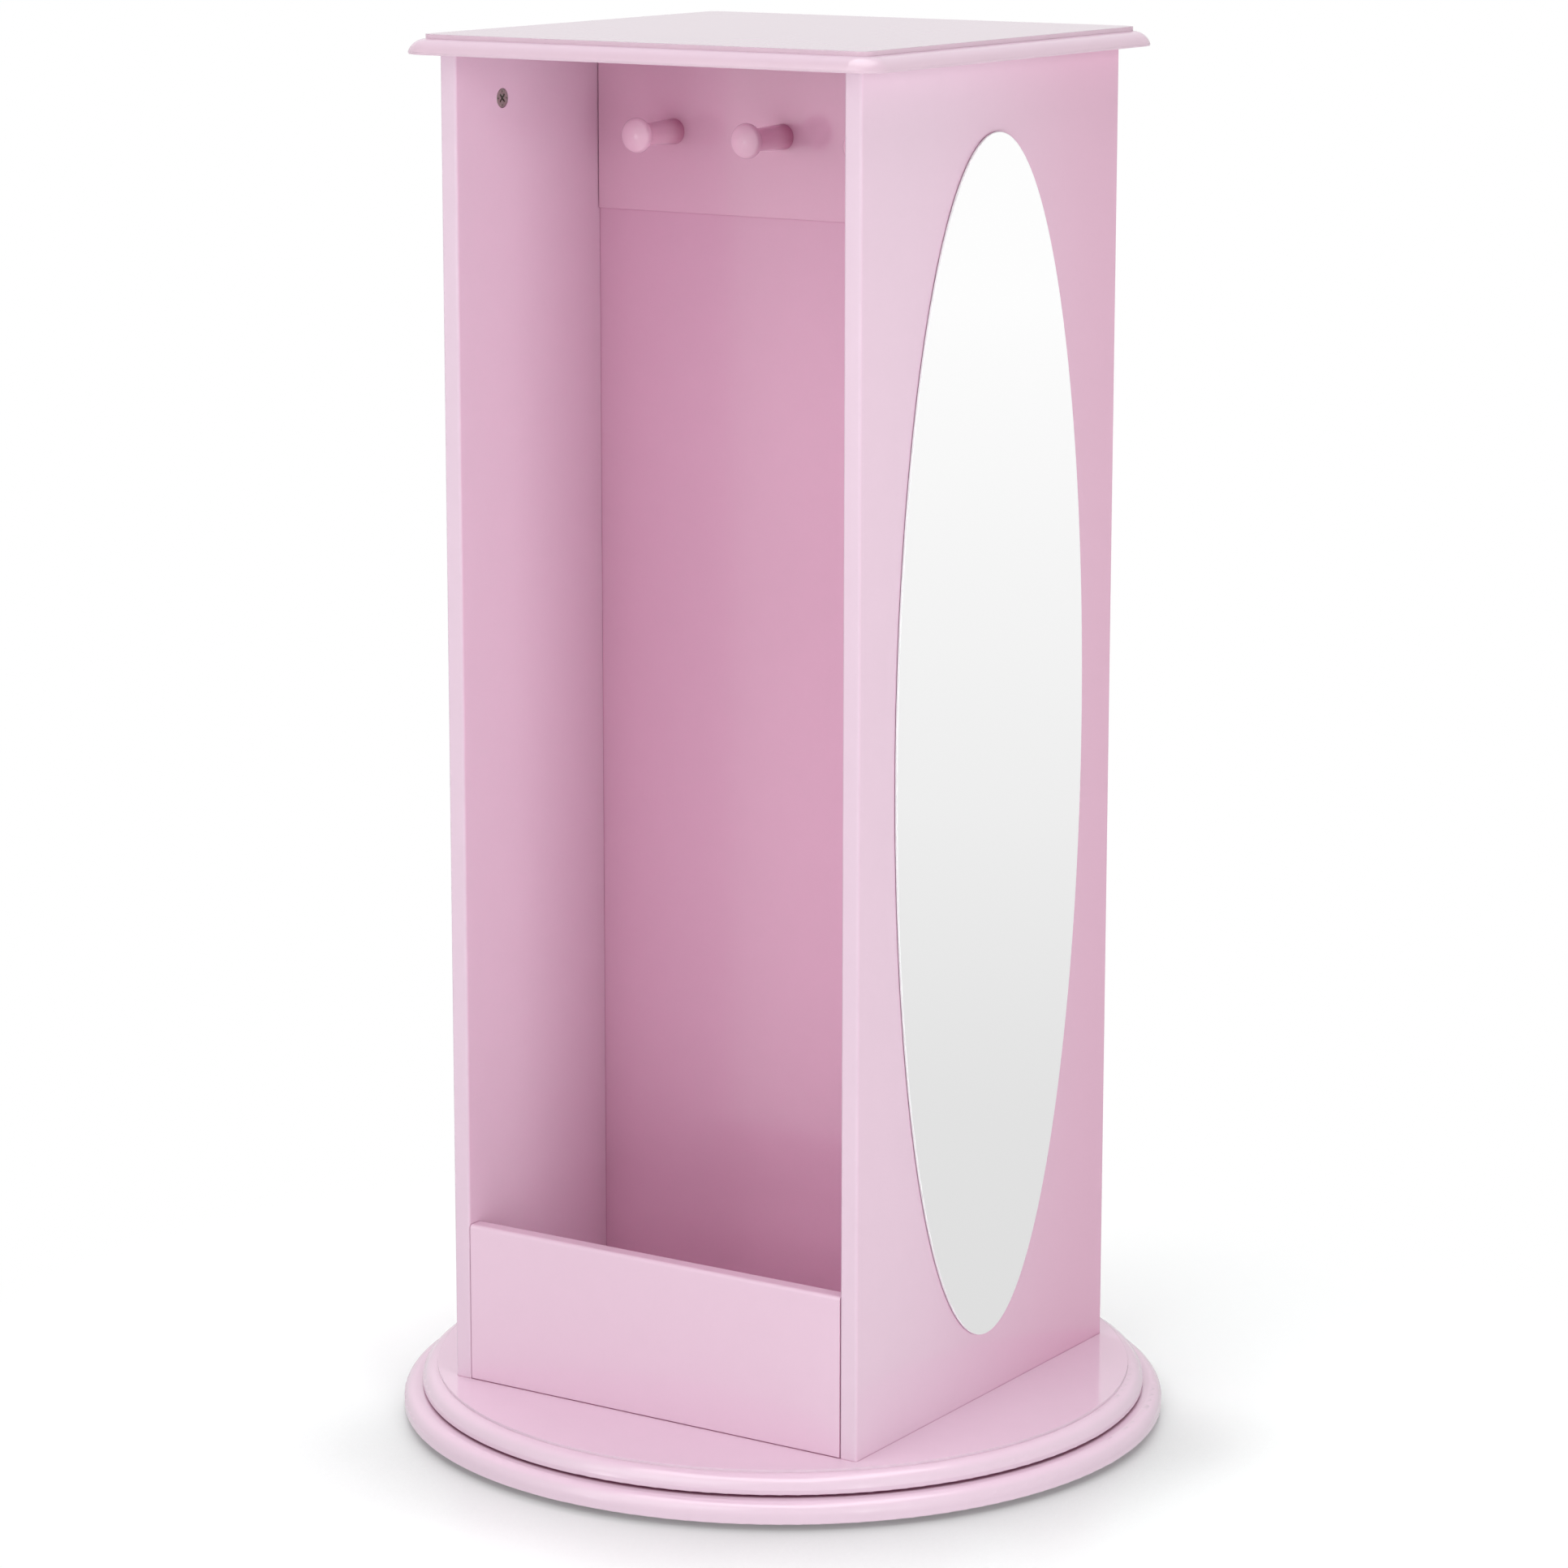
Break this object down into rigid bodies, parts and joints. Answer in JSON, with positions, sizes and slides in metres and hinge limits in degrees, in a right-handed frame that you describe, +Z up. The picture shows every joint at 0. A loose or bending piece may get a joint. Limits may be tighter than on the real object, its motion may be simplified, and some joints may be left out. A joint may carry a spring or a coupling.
{
  "type": "revolving dress-up cabinet",
  "caption": "Square open cabinet with an oval side mirror, turning on a ball-bearing ring between two round boards; pegs and a bin in front, shelves behind.",
  "frame": {"origin": "on the floor under the turning axis, the middle of the round base", "axes": "+Z up along the turning axis, the hanging side faces -Y, the mirror faces +X, the shelves face +Y"},
  "size_m": [0.617, 0.617, 1.108],
  "materials": {
    "painted_board": "satin",
    "painted_panel": "satin",
    "painted_peg": "satin",
    "mirror_glass": "polished",
    "foam_tape": "matte",
    "bearing_alloy": "satin",
    "bearing_steel": "polished",
    "cage_nylon": "matte",
    "glide_plastic": "matte",
    "screw_steel": "satin",
    "cam_zinc": "satin",
    "dowel_beech": "matte"
  },
  "bodies": {
    "base": {"base_disc": "painted_board", "foot_1": "glide_plastic", "foot_2": "glide_plastic", "foot_3": "glide_plastic", "foot_4": "glide_plastic", "foot_5": "glide_plastic", "foot_6": "glide_plastic", "foot_screws": "screw_steel", "bearing_outer_ring": "bearing_alloy", "outer_ring_screws": "screw_steel"},
    "ball_ring": {"ball_cage": "cage_nylon", "bearing_balls": "bearing_steel"},
    "carousel": {"turntable_disc": "painted_board", "bearing_inner_ring": "bearing_alloy", "inner_ring_screws": "screw_steel", "side_panel_left": "painted_board", "side_panel_right": "painted_board", "panel_screws": "screw_steel", "top_board": "painted_board", "cam_locks": "cam_zinc", "cam_bolts": "screw_steel", "wood_dowels": "dowel_beech", "divider_panel": "painted_panel", "peg_rail": "painted_board", "rail_dowels": "dowel_beech", "peg_left": "painted_peg", "peg_middle": "painted_peg", "peg_right": "painted_peg", "peg_screws": "screw_steel", "bin_board": "painted_board", "bin_screws": "screw_steel", "shelf_lower": "painted_board", "shelf_middle": "painted_board", "shelf_upper": "painted_board", "shelf_pins": "screw_steel", "mirror_oval": "mirror_glass", "mirror_tape": "foam_tape"}
  },
  "joints": [
    {"name": "carousel_spin", "type": "hinge", "parent": "base", "child": "carousel", "pos_m": [0, 0, 0.021], "axis": [0, 0, 1], "continuous": true},
    {"name": "ball_ring_spin", "type": "hinge", "parent": "base", "child": "ball_ring", "pos_m": [0, 0, 0.021], "axis": [0, 0, 1], "continuous": true}
  ],
  "couplings": [
    {"joint": "ball_ring_spin", "follows": "carousel_spin", "ratio": 0.5}
  ]
}
